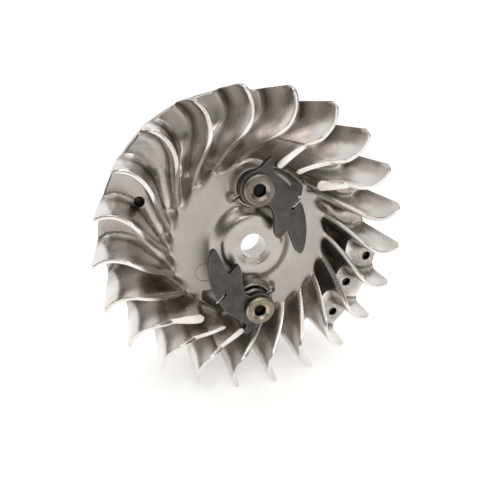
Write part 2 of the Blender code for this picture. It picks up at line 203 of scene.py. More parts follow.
def prism(name, outline, low, high, bevel=0.0, segments=2, angle=25.0):
    """Plan outline carried from z = low to z = high, with rounded edges."""
    build = bmesh.new()
    bottom = [build.verts.new((x * MM, -low * MM, y * MM)) for x, y in outline]
    top = [build.verts.new((x * MM, -high * MM, y * MM)) for x, y in outline]
    build.faces.new(bottom)
    build.faces.new(top)
    for index in range(len(outline)):
        follow = (index + 1) % len(outline)
        build.faces.new((bottom[index], bottom[follow], top[follow], top[index]))
    mesh = bpy.data.meshes.new(name)
    build.to_mesh(mesh)
    build.free()
    item = outward(new_object(name, mesh))
    if bevel > 0.0:
        modifier = item.modifiers.new("Bevel", "BEVEL")
        modifier.width = bevel * MM
        modifier.segments = segments
        modifier.limit_method = "ANGLE"
        modifier.angle_limit = math.radians(angle)
        modifier.use_clamp_overlap = True
        bake_modifiers(item)
    return item


def combine(item, others, operation):
    """Boolean with each other body in turn; the others are used up."""
    for other in others:
        modifier = item.modifiers.new("Boolean", "BOOLEAN")
        modifier.operation = operation
        modifier.solver = "MANIFOLD"
        modifier.object = other
        bake_modifiers(item)
        bpy.data.objects.remove(other, do_unlink=True)
    return item


def smooth_shading(item, degrees=35.0):
    item.data.shade_smooth()
    item.data.set_sharp_from_angle(angle=math.radians(degrees))
    return item


def disc_outline(centre, radius, sides, turn=0.0):
    outline = []
    for index in range(sides):
        angle = math.radians(turn) + 2.0 * math.pi * index / sides
        outline.append((centre[0] + radius * math.cos(angle), centre[1] + radius * math.sin(angle)))
    return outline


def polar(radius, degrees):
    angle = math.radians(degrees)
    return radius * math.cos(angle), radius * math.sin(angle)


# ---------------------------------------------------------------- flywheel casting


def blade_sweep(radius):
    inner = 4.4 * np.log1p(np.exp((40.4 - radius) / 2.2))
    return inner + 0.065 * np.maximum(0.0, radius - 46.0) ** 2 - 3.2


def blade_crest(radius):
    return BLADE_TOP - 1.35 * np.log1p(np.exp(39.5 - radius))


CHANNEL = [
    (0.0, PLATEAU), (29.5, PLATEAU), (30.3, -3.8), (32.0, -7.6),
    (34.6, -11.8), (38.0, -14.6), (42.0, -16.0), (62.0, -16.0),
]
plain_floor = soft_table(CHANNEL, 0.95)

RECESS = [
    (5.0, 16.8), (12.6, 15.2), (20.4, 15.2), (20.9, 19.4), (17.6, 23.2),
    (13.6, 25.8), (9.2, 27.9), (4.0, 28.6), (1.0, 27.0),
]


def channel_height(channel, radius):
    floor = plain_floor(radius)
    if channel in PAD_CHANNELS:
        return floor + (PAD_TOP - floor) * step(37.3, 38.6, radius)
    if channel in WEIGHT_CHANNELS:
        return WEIGHT_TOP + soft_positive(floor - WEIGHT_TOP, 0.8)
    return floor


SCALLOP = 1.7
WALL_POINTS = 4
FILLET_POINTS = 4
FLOOR_POINTS = 3


def blade_line(number, radius):
    """Angle of a blade's centre line from its tip line, its lean, and its half width along the circle."""
    kind = number % 11
    pull = FLAT_KINDS[kind][0] if kind in FLAT_KINDS else 0.0
    sweep = float(blade_sweep(radius)) - pull * max(0.0, 38.0 - radius)
    slope = float(blade_sweep(radius + 0.5) - blade_sweep(radius - 0.5)) + (pull if radius < 38.0 else 0.0)
    tangent = -math.radians(slope) * radius
    lean = math.hypot(1.0, tangent)
    half, shift, height = 0.75, 0.0, 1.0
    if kind in FLAT_KINDS:
        inner = FLAT_KINDS[kind][1]
        end = 28.9 + inner
        y = radius - end
        share = min(1.0, max(0.0, (y - inner) / (38.0 - end - inner)))
        half = inner + (0.75 - inner) * share
        if y < inner:
            reach = math.sqrt(max(0.0, inner * inner - y * y))
            sine, cosine = tangent / lean, 1.0 / lean
            plus = reach if y < inner * sine else -y * tangent + inner / cosine
            minus = -reach if y < -inner * sine else -y * tangent - inner / cosine
            shift = (plus + minus) / 2.0 + y * tangent
            half = max(0.05, (plus - minus) / 2.0 / lean)
            height = 1.0 if y > -inner else 0.0
    return sweep + math.degrees(shift / radius), lean, half, height


def half_section(number, radius, floor, half, nose):
    """Crest height, edge rounding and wall height of a blade at one radius."""
    crest = float(blade_crest(radius))
    edge = 0.45
    if number % 11 in FLAT_KINDS:
        if radius < 37.4:
            edge = 0.14
        crest = max(FACET_TOP, crest) if nose else -9.0
    tip = max(0.0, radius - 51.7) / (TIP_R - 51.7)
    crest -= 1.5 * tip * tip
    height = max(0.05, float(soft_positive(crest - floor)))
    return crest, min(edge, 0.35 * height, 0.6 * half), height


def casting_rows():
    """Front of the casting: rows at fixed radii from the bore to the blade tips."""
    hub = [BORE_R, 5.0, 6.85, 7.05, 8.0, 8.9, 9.6, 10.2, 10.8, 11.4, 12.0, 12.7, 13.4, 14.1, 14.8, 15.5]
    radii = hub + list(np.arange(16.0, 27.3, 0.4)) + list(np.arange(27.4, 31.5, 0.25))
    radii += list(np.arange(31.8, 36.6, 0.6)) + list(np.arange(36.8, 39.4, 0.3))
    radii += list(np.linspace(39.8, 51.2, 13)) + [51.7, 52.1, 52.4, 52.65, 52.85, 53.0]
    hub_profile = [
        (4.55, -0.40), (4.9, -0.14), (6.9, -0.14), (7.05, 0.0), (9.4, 0.0), (10.4, -0.08), (11.5, -0.45),
        (12.6, -1.20), (13.6, -2.05), (14.6, -2.65), (15.6, -2.93), (17.0, -3.0),
    ]
    rows = []
    per_pitch = 2 * (4 + WALL_POINTS + FILLET_POINTS) - 1 + FLOOR_POINTS
    for radius in sorted(radii, reverse=True):
        row = np.zeros((BLADES * per_pitch, 3))
        outer = np.zeros(BLADES * per_pitch)
        for m in range(BLADES):
            base = FIRST_TIP + PITCH * m
            floor = float(channel_height(m, max(radius, 15.0)))
            sides = []
            for side, which in ((1.0, m), (-1.0, (m + 1) % BLADES)):
                number = 1 if which == 0 else 23 - which
                held = max(radius, ROOT_R)
                sweep, lean, half, nose = blade_line(number, held)
                lean = 1.0 + (lean - 1.0) * (1.0 - float(step(49.5, 51.5, radius)))
                crest, edge, height = half_section(number, held, floor, half, nose)
                room = math.radians(PITCH) * held / lean - 2.0 * half - 1.0
                fillet = min(2.5, 0.40 * room, 0.62 * height)
                wall = max(0.0, height - edge - fillet)
                draft = 0.045
                offsets = [0.0, half - edge, half - 0.3 * edge, half]
                for k in range(1, WALL_POINTS + 1):
                    offsets.append(half + draft * wall * k / WALL_POINTS)
                for k in range(1, FILLET_POINTS + 1):
                    turn = math.radians(90.0 * k / FILLET_POINTS)
                    offsets.append(half + draft * wall + fillet * (1.0 - math.cos(turn)))
                angle = base + (PITCH if side < 0 else 0.0) + sweep
                degrees = [angle + side * math.degrees(o * lean / held) for o in offsets]
                sides.append((degrees, crest, edge, fillet))
            left, right = sides
            degrees = list(left[0])
            gap = right[0][-1] - left[0][-1]
            for k in range(1, FLOOR_POINTS + 1):
                degrees.append(left[0][-1] + gap * k / (FLOOR_POINTS + 1))
            degrees += list(reversed(right[0][1:]))
            degrees = np.array(degrees)
            if radius < ROOT_R:
                even = base + PITCH * np.arange(per_pitch) / per_pitch + float(blade_sweep(ROOT_R))
                share = float(step(12.0, ROOT_R, radius))
                unwind = float(blade_sweep(ROOT_R)) * (1.0 - (radius - BORE_R) / (ROOT_R - BORE_R))
                degrees = even + (degrees - even) * share - unwind
            theta = np.radians(degrees)
            x, y = radius * np.cos(theta), radius * np.sin(theta)
            if radius < 17.0:
                bare = np.full(per_pitch, float(np.interp(radius, *zip(*hub_profile))))
            elif ROOT_R <= radius < 36.0:
                across = np.clip((degrees - left[0][0]) / (right[0][0] - left[0][0]), 0.0, 1.0)
                scoop = SCALLOP * np.sin(across * math.pi) ** 2 * (1.0 - float(step(32.5, 36.0, radius)))
                bare = np.array([float(channel_height(m, radius + dip)) for dip in scoop])
            else:
                bare = np.full(per_pitch, floor)
            z = np.array(bare)
            reach = 4 + WALL_POINTS + FILLET_POINTS
            for sample in range(per_pitch):
                if sample < reach:
                    data, spot = left, sample
                elif sample < reach + FLOOR_POINTS:
                    continue
                else:
                    data, spot = right, per_pitch - sample
                crest, edge, fillet = data[1], data[2], data[3]
                ground = bare[sample]
                if crest < ground - 2.5:
                    continue
                height = float(soft_positive(crest - ground))
                edge = min(edge, 0.35 * height)
                fillet = min(fillet, 0.62 * height)
                top = ground + height
                if spot <= 1:
                    z[sample] = top
                elif spot == 2:
                    z[sample] = top - 0.29 * edge
                elif spot == 3:
                    z[sample] = top - edge
                elif spot < 4 + WALL_POINTS:
                    share = (spot - 3) / WALL_POINTS
                    z[sample] = (top - edge) * (1.0 - share) + (ground + fillet) * share
                else:
                    turn = math.radians(90.0 * (spot - 3 - WALL_POINTS) / FILLET_POINTS)
                    z[sample] = ground + fillet * (1.0 - math.sin(turn))
                weight = (1.0, 1.0, 1.0, 1.0) + (1.0,) * WALL_POINTS + (0.85, 0.6, 0.3, 0.0)
                outer[m * per_pitch + sample] = weight[spot]
            place = slice(m * per_pitch, (m + 1) * per_pitch)
            row[place, 0], row[place, 1], row[place, 2] = x, y, z
        if radius > TRIM_R:
            limit = RIM_R - 0.05 + (TIP_R - RIM_R + 0.05) * outer
            target = TRIM_R + (radius - TRIM_R) * (limit - TRIM_R) / (TIP_R - TRIM_R)
            row[:, 0] *= target / radius
            row[:, 1] *= target / radius
            low_edge = (1.0 - outer) * 0.4 * np.clip((radius - 52.0) / 1.0, 0.0, 1.0) ** 2
            row[:, 2] -= low_edge
        rows.append(row)
    rows.reverse()
    return rows, outer


def casting_body():
    front, outer = casting_rows()
    last = front[-1]
    theta = np.arctan2(last[:, 1], last[:, 0])
    limit = np.hypot(last[:, 0], last[:, 1])
    rows = list(front)

    def ring(radius, z):
        row = np.zeros_like(last)
        row[:, 0] = radius * np.cos(theta)
        row[:, 1] = radius * np.sin(theta)
        row[:, 2] = z
        return row

    for share in (0.06, 0.2, 0.4, 0.6, 0.8, 0.93, 1.0):
        rows.append(ring(limit, last[:, 2] * (1.0 - share) + (-16.9) * share))
    back = [
        (52.5, -17.3), (52.5, -20.0), (52.5, -24.0), (52.5, -27.3), (52.36, -27.75), (52.0, -28.0),
        (49.5, -28.0), (47.2, -28.0), (46.6, -27.8), (46.3, -27.3), (46.0, -25.0), (45.6, -22.4),
        (45.0, -21.3), (43.8, -20.8), (41.0, -20.4), (38.2, -20.0), (36.0, -19.0), (34.0, -17.7),
        (32.4, -16.4), (30.6, -13.8), (29.0, -11.3), (27.6, -9.6), (26.4, -8.7), (25.0, -8.4),
        (21.0, -8.4), (17.4, -8.5), (16.0, -9.0), (15.3, -9.6), (15.0, -10.6), (14.75, -11.4),
        (14.5, -11.8), (14.1, -12.0), (10.0, -12.0), (6.2, -12.0), (5.75, -11.95), (5.45, -11.75),
        (5.32, -11.4), (5.2, -9.0), (5.0, -6.0), (4.78, -3.0), (4.62, -0.8),
    ]
    for radius, z in back:
        rows.append(ring(radius, z))
    body = grid_object("casting_aluminium", np.array(rows))
    return outward(body)


def collar_centre(half):
    centre, shift = half_turn(PIVOT, half), half_turn(COLLAR_SHIFT, half)
    return centre[0] + shift[0], centre[1] + shift[1]


def build_casting():
    body = casting_body()
    joined = []
    for half in (0, 1):
        centre = half_turn(PIVOT, half)
        middle = collar_centre(half)
        collar = [
            (0.0, -7.0), (9.2, -7.0), (9.2, -3.06), (8.6, -3.0), (8.1, -2.8), (7.7, -2.35), (7.4, -1.6),
            (7.15, -0.6), (6.98, 0.2), (6.86, 0.6), (6.66, 0.88), (6.36, 1.0), (0.0, 1.0),
        ]
        joined.append(lathe("collar", collar, 96, middle))
        x, y = half_turn(polar(*NUB_SPOT), half)
        nub = [
            (0.0, -6.6), (3.0, -6.6), (3.0, -3.06), (2.6, -3.0), (2.25, -2.8), (1.98, -2.3), (1.8, -1.4),
            (1.66, -0.2), (1.55, 0.4), (1.35, 0.7), (1.1, 0.8), (0.0, 0.8),
        ]
        joined.append(lathe("nub", nub, 48, (centre[0] + x, centre[1] + y)))
        back = [(0.0, -7.8), (6.9, -7.8), (6.5, -9.6), (6.2, -13.4), (5.7, -14.0), (0.0, -14.0)]
        joined.append(lathe("boss_back", back, 48, centre))
    for first, last, low in ((-45.0, -6.0, -26.6), (120.0, 186.0, -26.4)):
        outline = [polar(47.6, first + (last - first) * k / 24) for k in range(25)]
        outline += [polar(40.6, last + (first - last) * k / 24) for k in range(25)]
        joined.append(prism("housing", outline, low, -18.6, 0.7, 3))
    rib = [
        (13.6, -11.4), (20.0, -12.6), (34.0, -21.0), (46.6, -25.0),
        (46.6, -19.4), (36.0, -18.0), (28.0, -8.0), (13.6, -8.0),
    ]
    for index in range(RIB_COUNT):
        web = prism("rib", rib, -1.1, 1.1, 0.45, 2)
        spin = Matrix.Rotation(math.radians(RIB_START + 360.0 / RIB_COUNT * index), 4, "Z")
        web.data.transform(SKETCH_TO_ROW @ spin)
        joined.append(web)
    key = [(4.4, -1.1), (6.6, -1.1), (6.6, 1.1), (4.4, 1.1)]
    key = [polar(math.hypot(x, y), math.degrees(math.atan2(y, x)) + KEY_DEGREES) for x, y in key]
    joined.append(prism("key", key, -10.5, -3.5, 0.2, 2))
    combine(body, joined, "UNION")
    cuts = []
    for half in (0, 1):
        recess = [half_turn(point, half) for point in RECESS]
        scoop = prism("recess", recess, SCOOP_LOW, 0.9, 0.8, 4)
        middle = np.mean(np.array(recess), axis=0)
        for vertex in scoop.data.vertices:
            depth = max(0.0, vertex.co.y / MM + PLATEAU) / (PLATEAU - SCOOP_LOW)
            spread = 1.04 - 0.56 * depth
            vertex.co.x = (middle[0] + (vertex.co.x / MM - middle[0]) * spread) * MM
            vertex.co.z = (middle[1] + (vertex.co.z / MM - middle[1]) * spread) * MM
        cuts.append(scoop)
    for spot, size, level in (
        (RING_MARK, RING_MARK_R, PLATEAU),
        (polar(48.2, 136.5), 2.9, WEIGHT_TOP),
        (polar(48.0, 170.0), 2.7, WEIGHT_TOP),
    ):
        ring = [
            (size - 0.09, level - 0.14), (size + 0.09, level - 0.14),
            (size + 0.12, level + 0.3), (size - 0.12, level + 0.3),
        ]
        cuts.append(lathe("mark", ring, 72, spot))
    for half in (0, 1):
        centre = half_turn(PIVOT, half)
        middle = collar_centre(half)
        pocket = [
            (4.1, 3.2), (4.1, -3.0), (4.3, -3.45), (4.6, -3.6), (5.4, -3.6), (5.7, -3.45), (5.85, -3.1),
            (5.9, 0.55), (6.02, 0.85), (6.2, 1.0), (6.4, 1.2), (6.4, 3.2),
        ]
        cuts.append(lathe("pocket", pocket, 96, middle))
        x, y = half_turn(polar(*NUB_SPOT), half)
        dimple = [(0.0, -0.5), (0.7, -0.5), (0.95, -0.3), (1.0, 0.5), (1.2, 0.9), (0.0, 0.9)]
        cuts.append(lathe("dimple", dimple, 32, (centre[0] + x, centre[1] + y)))
        groove = ((7.7, 204.4), (7.7, 215.6), (5.0, 218.8), (5.0, 201.2))
        groove = [half_turn(polar(*point), half) for point in groove]
        groove = [(centre[0] + a, centre[1] + b) for a, b in groove]
        cuts.append(prism("groove", groove, -0.5, 1.4))
    for half in (0, 1):
        centre = half_turn(PIVOT, half)
        hole = [(0.0, 4.0), (3.3, 4.0), (2.8, 2.7), (2.8, -11.2), (0.0, -12.6)]
        cuts.append(lathe("hole", hole, 40, centre))
    drilled = [(spot, PAD_TOP, -5.4) for spot in PAD_HOLES] + [(WEIGHT_HOLE, WEIGHT_TOP, -13.0)]
    for spot, mouth, low in drilled:
        hole = [
            (0.0, mouth + 1.0), (1.78, mouth + 1.0), (1.78, mouth + 0.02), (1.7, mouth - 0.12),
            (1.7, low + 0.6), (0.0, low),
        ]
        cuts.append(lathe("hole", hole, 32, polar(*spot)))
    slot = []
    for radius, start, end in (
        (54.0, -39.84, -30.16), (48.9, -30.16, -20.84), (54.0, -20.84, -11.16), (43.2, -11.16, -39.84),
    ):
        for index in range(9):
            slot.append(polar(radius, start + (end - start) * index / 8))
    cuts.append(prism("slot", slot, -24.3, -6.7))
    combine(body, cuts, "DIFFERENCE")
    smooth_shading(body, 38.0)
    return body


# ---------------------------------------------------------------- starter pawls, screws, bushes, springs


PAWL_OUTLINE = [
    (4.6, 10.0), (5.3, 9.8), (5.5, 8.8), (4.6, 6.2), (5.6, 5.0), (8.0, 3.1), (10.7, 0.7), (12.9, -1.5),
    (14.0, -3.4), (14.2, -4.3), (11.6, -6.8), (11.55, -7.35), (11.9, -7.65), (12.36, -7.59), (14.96, -5.09),
    (15.6, -6.1), (16.1, -7.4), (16.9, -10.2), (17.5, -13.8), (17.6, -17.2), (17.3, -20.2), (16.7, -22.6),
    (15.9, -23.5), (14.9, -23.3),
    (14.0, -22.0), (12.9, -19.5), (11.9, -16.8), (11.0, -14.6), (10.4, -14.6), (8.4, -16.8), (7.4, -17.4),
    (6.7, -16.7), (6.2, -15.0), (6.0, -12.0), (5.9, -9.6), (5.2, -7.4), (3.9, -5.6),
]
HARD_CORNERS = {
    (4.6, 6.2), (14.2, -4.3), (11.6, -6.8), (12.36, -7.59),
    (14.96, -5.09), (11.0, -14.6), (10.4, -14.6), (-1.2, 6.0),
}


def pawl_plan():
    points = list(PAWL_OUTLINE)
    for index in range(23):
        points.append(polar(PAWL_EYE_R, -62.0 - (246.0 - 62.0) * index / 22))
    points += [(-1.2, 6.0), (1.2, 7.2), (3.2, 9.2)]
    return points


def soften(points, hard, parts=4):
    """Rounded run through the points; a hard corner stays a corner."""
    out = []
    count = len(points)
    for index in range(count):
        a, b = points[index], points[(index + 1) % count]
        before, after = points[index - 1], points[(index + 2) % count]
        length = math.dist(a, b)
        if length < 0.9:
            out.append(a)
            continue
        ta = ((b[0] - before[0]), (b[1] - before[1]))
        tb = ((after[0] - a[0]), (after[1] - a[1]))
        scale_a = length / max(1e-6, math.hypot(*ta))
        scale_b = length / max(1e-6, math.hypot(*tb))
        ta = (ta[0] * scale_a, ta[1] * scale_a)
        tb = (tb[0] * scale_b, tb[1] * scale_b)
        if a in hard:
            ta = (b[0] - a[0], b[1] - a[1])
        if b in hard:
            tb = (b[0] - a[0], b[1] - a[1])
        steps = max(2, min(parts, round(length / 0.7)))
        for k in range(steps):
            t = k / steps
            h0, h1 = 2 * t**3 - 3 * t * t + 1, t**3 - 2 * t * t + t
            h2, h3 = -2 * t**3 + 3 * t * t, t**3 - t * t
            out.append(tuple(h0 * a[n] + h1 * ta[n] + h2 * b[n] + h3 * tb[n] for n in (0, 1)))
    return out


def build_pawl(name, half):
    centre = half_turn(PIVOT, half)
    outline = [half_turn(point, half) for point in soften(pawl_plan(), HARD_CORNERS)]
    outline = [(centre[0] + x, centre[1] + y) for x, y in outline]
    pawl = prism(name, outline, 3.5, 6.5)
    bore = lathe("bore", [(0.0, 2.0), (3.9, 2.0), (3.9, 8.0), (0.0, 8.0)], 48, centre)
    combine(pawl, [bore], "DIFFERENCE")
    modifier = pawl.modifiers.new("Bevel", "BEVEL")
    modifier.width = 0.2 * MM
    modifier.segments = 2
    modifier.limit_method = "ANGLE"
    modifier.angle_limit = math.radians(50.0)
    # the bevel faces take material 1, the lighter edge wear and painted highlight
    modifier.material = 1
    pawl.data.materials.clear()
    pawl.data.materials.append(steel_dark)
    pawl.data.materials.append(edge_wear_and_highlight)
    bake_modifiers(pawl)
    return smooth_shading(pawl, 30.0)


def build_screw(name, half):
    centre = half_turn(PIVOT, half)
    profile = [
        (0.0, 8.76), (3.3, 8.76), (4.2, 8.8), (4.5, 8.78), (4.66, 8.72), (5.04, 8.36), (5.13, 8.22),
        (5.15, 8.1), (5.15, 7.08), (5.08, 6.94), (4.95, 6.9), (2.75, 6.9), (2.45, 6.75), (2.45, -9.9),
        (1.9, -10.7), (0.0, -10.8),
    ]
    screw = lathe(name, profile, 96, centre)
    cone = [(0.0, 9.4), (3.75, 9.4), (3.32, 8.8), (3.2, 8.66), (2.2, 8.1), (1.0, 7.4), (0.0, 7.2)]
    hexagon = disc_outline(centre, SOCKET_FLATS / math.sqrt(3.0), 6, 30.0)
    cuts = [lathe("cone", cone, 96, centre), prism("hex", hexagon, 5.8, 9.4)]
    drill = [(0.0, 6.2), (1.9, 6.2), (1.9, 5.7), (0.0, 5.0)]
    cuts.append(lathe("drill", drill, 48, centre))
    combine(screw, cuts, "DIFFERENCE")
    modifier = screw.modifiers.new("Bevel", "BEVEL")
    modifier.width = 0.07 * MM
    modifier.segments = 2
    modifier.limit_method = "ANGLE"
    modifier.angle_limit = math.radians(40.0)
    bake_modifiers(screw)
    for face in screw.data.polygons:
        spot = face.center / MM
        reach = math.hypot(spot.x - centre[0], spot.z - centre[1])
        if -8.5 < spot.y < -4.9 and reach < 2.42:
            face.material_index = 1
    return smooth_shading(screw, 30.0)


def build_bush(name, half):
    profile = [
        (2.75, 3.35), (2.85, 3.25), (3.7, 3.25), (3.8, 3.35),
        (3.8, 6.7), (3.7, 6.8), (2.85, 6.8), (2.75, 6.7),
    ]
    return smooth_shading(lathe(name, profile, 96, half_turn(PIVOT, half)), 30.0)


def spring_line():
    """Centre line of a torsion spring: low leg, coil, high leg, hook in the pawl's slot."""
    start, out = polar(COIL_R, COIL_START), polar(1.0, COIL_START)
    points = [(start[0] + out[0] * k, start[1] + out[1] * k, 0.2) for k in (2.8, 2.2, 1.6, 1.0, 0.5)]
    steps = int(COIL_TURNS * 44)
    for index in range(steps + 1):
        share = index / steps
        x, y = polar(COIL_R, COIL_START + 6.0 + (COIL_TURNS * 360.0 - 6.0) * share)
        points.append((x, y, 0.2 + 2.8 * share))
    end = points[-1]
    knots = [
        points[-2], end, (5.0, -5.5, 3.0), (10.9, -7.0, 3.0), (11.7, -7.05, 3.05), (12.1, -7.0, 3.5),
        (12.2, -6.95, 4.5), (12.4, -6.75, 5.4), (12.9, -6.3, 5.8), (14.6, -4.7, 5.9), (15.3, -4.05, 5.9),
    ]
    knots.append(tuple(2 * b - a for a, b in zip(knots[-2], knots[-1])))
    for index in range(1, len(knots) - 2):
        p0, p1, p2, p3 = (Vector(knots[index + k]) for k in (-1, 0, 1, 2))
        reach = (p2 - p1).length
        t1 = (p2 - p0).normalized() * reach
        t2 = (p3 - p1).normalized() * reach
        parts = 8 if index > 1 else 12
        for k in range(1, parts + 1):
            t = k / parts
            point = p1 * (2 * t**3 - 3 * t * t + 1) + t1 * (t**3 - 2 * t * t + t)
            point += p2 * (-2 * t**3 + 3 * t * t) + t2 * (t**3 - t * t)
            points.append(tuple(point))
    return points


def build_spring(name, half):
    centre = half_turn(PIVOT, half)
    sign = 1.0 if half == 0 else -1.0
    line = np.array([(centre[0] + sign * x, centre[1] + sign * y, z) for x, y, z in spring_line()])
    along = np.gradient(line, axis=0)
    along /= np.linalg.norm(along, axis=1)[:, None]
    side = np.cross(along[0], (0.0, 0.0, 1.0))
    rings = []
    sides = 12
    for index, place in enumerate(line):
        side = side - along[index] * float(side @ along[index])
        side /= np.linalg.norm(side)
        up = np.cross(along[index], side)
        radius = 0.32 if index in (0, len(line) - 1) else 0.4
        turn = 2.0 * np.pi * np.arange(sides) / sides
        rings.append(place + radius * (np.cos(turn)[:, None] * side + np.sin(turn)[:, None] * up))
    mesh = bpy.data.meshes.new(name)
    rows = np.array(rings)
    count = len(line)
    faces = []
    for index in range(count - 1):
        for k in range(sides):
            follow = (k + 1) % sides
            low, high = index * sides, (index + 1) * sides
            faces.append((low + k, low + follow, high + follow, high + k))
    faces.append(tuple(range(sides)))
    faces.append(tuple(range((count - 1) * sides, count * sides)))
    mesh.from_pydata(to_row(rows.reshape(-1, 3)).tolist(), [], faces)
    mesh.update()
    return smooth_shading(outward(new_object(name, mesh)), 50.0)


# ---------------------------------------------------------------- ignition magnet set


def sector_plan(inner, outer, first, last, parts):
    plan = [polar(outer, first + (last - first) * k / parts) for k in range(parts + 1)]
    return plan + [polar(inner, last + (first - last) * k / parts) for k in range(parts + 1)]


def build_shoe(name, middle):
    """Pole shoe: a stack of punched laminations, so its sides are finely grooved."""
    plan = np.array(sector_plan(43.5, 52.4, middle - 4.5, middle + 4.5, 10))
    centre = plan.mean(axis=0)
    sheets, low, high = 26, -24.0, -7.0
    pitch = (high - low) / sheets
    rows = []
    for sheet in range(sheets):
        base = low + sheet * pitch
        for lift, grow in ((0.06, 0.99), (0.16, 1.0), (pitch - 0.1, 1.0), (pitch - 0.02, 0.99)):
            flat = centre + (plan - centre) * grow
            rows.append(np.column_stack((flat, np.full(len(flat), base + lift))))
    mesh = bpy.data.meshes.new(name)
    count = len(plan)
    faces = [tuple(range(count)), tuple(range((len(rows) - 1) * count, len(rows) * count))]
    for index in range(len(rows) - 1):
        for k in range(count):
            follow = (k + 1) % count
            here, above = index * count, (index + 1) * count
            faces.append((here + k, here + follow, above + follow, above + k))
    mesh.from_pydata(to_row(np.vstack(rows)).tolist(), [], faces)
    mesh.update()
    return smooth_shading(outward(new_object(name, mesh)), 20.0)


def build_magnet(name):
    gap = math.degrees(0.3 / 46.0)
    plan = sector_plan(43.5, 48.6, -30.5 + gap, -20.5 - gap, 8)
    return smooth_shading(prism(name, plan, -24.0, -7.0, 0.35, 3), 30.0)


# ---------------------------------------------------------------- materials


class Surface:
    """A Principled material, with short ways to add procedural nodes to it."""

    def __init__(self, name, colour, metallic, roughness):
        self.material = bpy.data.materials.new(name)
        self.material.use_nodes = True
        self.nodes = self.material.node_tree.nodes
        self.links = self.material.node_tree.links
        self.shader = next(n for n in self.nodes if n.type == "BSDF_PRINCIPLED")
        self.shader.inputs["Base Color"].default_value = (*colour, 1.0)
        self.shader.inputs["Metallic"].default_value = metallic
        self.shader.inputs["Roughness"].default_value = roughness
        self.place = self.nodes.new("ShaderNodeTexCoord").outputs["Object"]
        self.normal = None

    def link(self, source, target):
        self.links.new(source, target)

    def shifted(self, location, scale=(1.0, 1.0, 1.0)):
        node = self.nodes.new("ShaderNodeMapping")
        node.vector_type = "POINT"
        node.inputs["Location"].default_value = location
        node.inputs["Scale"].default_value = scale
        self.link(self.place, node.inputs["Vector"])
        return node.outputs["Vector"]

    def noise(self, scale, detail=3.0, roughness=0.5, vector=None):
        node = self.nodes.new("ShaderNodeTexNoise")
        node.inputs["Scale"].default_value = scale
        node.inputs["Detail"].default_value = detail
        node.inputs["Roughness"].default_value = roughness
        self.link(vector or self.place, node.inputs["Vector"])
        return node.outputs["Fac"]

    def cells(self, scale, vector=None):
        node = self.nodes.new("ShaderNodeTexVoronoi")
        node.inputs["Scale"].default_value = scale
        self.link(vector or self.place, node.inputs["Vector"])
        return node.outputs["Distance"]

    def remap(self, value, low, high, to_low=0.0, to_high=1.0, smooth=False):
        node = self.nodes.new("ShaderNodeMapRange")
        node.interpolation_type = "SMOOTHSTEP" if smooth else "LINEAR"
        sockets = ("From Min", "From Max", "To Min", "To Max")
        for socket, number in zip(sockets, (low, high, to_low, to_high)):
            node.inputs[socket].default_value = number
        self.link(value, node.inputs["Value"])
        return node.outputs["Result"]

    def math(self, operation, first, second=None):
        node = self.nodes.new("ShaderNodeMath")
        node.operation = operation
        for socket, value in zip(node.inputs, (first, second)):
            if value is None:
                continue
            if isinstance(value, (int, float)):
                socket.default_value = value
            else:
                self.link(value, socket)
        return node.outputs["Value"]

    def mix(self, share, first, second):
        node = self.nodes.new("ShaderNodeMix")
        node.data_type = "RGBA"
        self.link(share, node.inputs["Factor"])
        for socket, value in ((node.inputs["A"], first), (node.inputs["B"], second)):
            if isinstance(value, tuple):
                socket.default_value = (*value, 1.0)
            else:
                self.link(value, socket)
        return node.outputs["Result"]

    def radius(self, centre=(0.0, 0.0)):
        """Distance from an axis parallel to Y through a point given in sketch millimetres."""
        flat = self.shifted((-centre[0] * MM, 0.0, -centre[1] * MM))
        node = self.nodes.new("ShaderNodeVectorMath")
        node.operation = "MULTIPLY"
        node.inputs[1].default_value = (1.0, 0.0, 1.0)
        self.link(flat, node.inputs[0])
        length = self.nodes.new("ShaderNodeVectorMath")
        length.operation = "LENGTH"
        self.link(node.outputs["Vector"], length.inputs[0])
        return length.outputs["Value"]

    def distance(self, point):
        node = self.nodes.new("ShaderNodeVectorMath")
        node.operation = "DISTANCE"
        node.inputs[1].default_value = point
        self.link(self.place, node.inputs[0])
        return node.outputs["Value"]

    def axis(self, name):
        node = self.nodes.new("ShaderNodeSeparateXYZ")
        self.link(self.place, node.inputs["Vector"])
        return node.outputs[name]

    def colour(self, source):
        self.link(source, self.shader.inputs["Base Color"])

    def roughness(self, source):
        self.link(source, self.shader.inputs["Roughness"])

    def bump(self, height, depth, strength=1.0):
        """Relief of that depth in metres, added on top of what is there."""
        node = self.nodes.new("ShaderNodeBump")
        node.inputs["Strength"].default_value = strength
        node.inputs["Distance"].default_value = depth
        self.link(height, node.inputs["Height"])
        if self.normal:
            self.link(self.normal, node.inputs["Normal"])
        self.normal = node.outputs["Normal"]
        self.link(self.normal, self.shader.inputs["Normal"])


